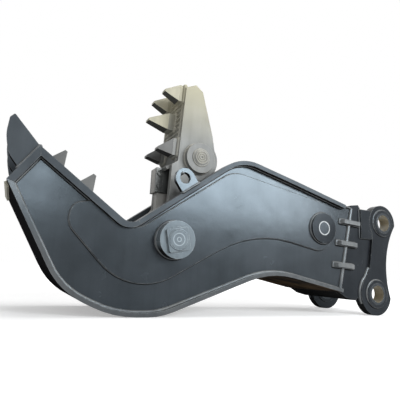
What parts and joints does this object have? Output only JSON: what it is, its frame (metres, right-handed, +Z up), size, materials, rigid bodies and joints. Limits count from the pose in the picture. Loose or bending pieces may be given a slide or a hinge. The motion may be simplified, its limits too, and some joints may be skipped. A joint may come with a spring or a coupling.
{
  "type": "concrete pulverizer",
  "caption": "Hydraulic concrete pulverizer for an excavator: a gooseneck fixed jaw box with pin ears, and a toothed upper jaw that a cylinder closes.",
  "frame": {"origin": "centre of the stick pin bores, midway between the two ears, with the upper jaw wide open", "axes": "+Y along the pins, +Z up with the belly and the lower ears on the ground, +X towards the ears, so the jaw tips point to -X"},
  "size_m": [2.2634, 0.6, 1.197],
  "materials": {
    "body_paint": "dark blue-grey satin paint over welded plate, dusty",
    "jaw_paint": "thin grey paint, dusted with warm concrete dust",
    "tooth_steel": "pale dusty wear steel with dark undersides",
    "blade_steel": "dark hardened blade steel",
    "pin_steel": "turned steel, slightly worn",
    "bush_steel": "bright turned bush steel",
    "bronze": "plain bronze bearing",
    "chrome": "hard chrome plated rod"
  },
  "bodies": {
    "fixed_jaw": {"left_side_plate": "body_paint", "right_side_plate": "body_paint", "left_doubler": "body_paint", "right_doubler": "body_paint", "belly_plate": "body_paint", "jaw_deck": "body_paint", "front_end_plate": "body_paint", "left_top_flange": "body_paint", "right_top_flange": "body_paint", "rear_top_cover": "body_paint", "throat_diaphragm": "body_paint", "rear_bulkhead": "body_paint", "bracket_cheeks": "body_paint", "bracket_top_plate": "body_paint", "bracket_bottom_plate": "body_paint", "neck_pads": "body_paint", "left_ear": "body_paint", "right_ear": "body_paint", "ear_boss_rings": "body_paint", "ear_bushes": "bush_steel", "seam_gussets": "body_paint", "left_fang": "body_paint", "middle_fang": "body_paint", "right_fang": "body_paint", "deck_side_teeth": "tooth_steel", "deck_center_tooth": "tooth_steel", "fixed_blades": "blade_steel", "front_wear_bar": "tooth_steel", "lifting_lug": "body_paint", "pivot_bosses": "body_paint", "main_pin": "pin_steel", "main_pin_keepers": "body_paint", "base_pin": "pin_steel", "base_pin_caps": "body_paint", "base_pin_bosses": "body_paint"},
    "moving_jaw": {"left_jaw_cheek": "jaw_paint", "right_jaw_cheek": "jaw_paint", "jaw_web": "jaw_paint", "jaw_face_plate": "jaw_paint", "jaw_back_plate": "jaw_paint", "jaw_tip_plate": "jaw_paint", "pivot_hub": "jaw_paint", "pivot_bushes": "bronze", "rod_pin_bosses": "jaw_paint", "rod_pin": "pin_steel", "rod_pin_keepers": "pin_steel", "tip_teeth": "tooth_steel", "center_tooth": "tooth_steel", "throat_teeth": "tooth_steel", "tooth_bases": "jaw_paint", "blade_backing_bars": "blade_steel", "cutter_blades": "blade_steel", "blade_bolts": "pin_steel"},
    "cylinder_barrel": {"barrel_tube": "body_paint", "base_eye": "body_paint", "base_eye_bush": "bronze", "gland": "pin_steel"},
    "cylinder_rod": {"rod": "chrome", "rod_eye": "body_paint", "piston": "pin_steel"}
  },
  "joints": [
    {"name": "jaw_pivot", "type": "hinge", "parent": "fixed_jaw", "child": "moving_jaw", "pos_m": [-1.40299, 0, -0.21504], "axis": [0, -1, 0], "range_deg": [0, 50]},
    {"name": "barrel_pivot", "type": "hinge", "parent": "fixed_jaw", "child": "cylinder_barrel", "pos_m": [-0.49302, 0, -0.07599], "axis": [0, -1, 0], "range_deg": [0, 8.2]},
    {"name": "rod_slide", "type": "slide", "parent": "cylinder_barrel", "child": "cylinder_rod", "axis": [-0.9292, 0, 0.3697], "range_m": [0, 0.3745]}
  ],
  "couplings": [
    {"joint": "barrel_pivot", "follows": "jaw_pivot", "ratio": 0.1625},
    {"joint": "rod_slide", "follows": "jaw_pivot", "m_per_rad": 0.429}
  ]
}
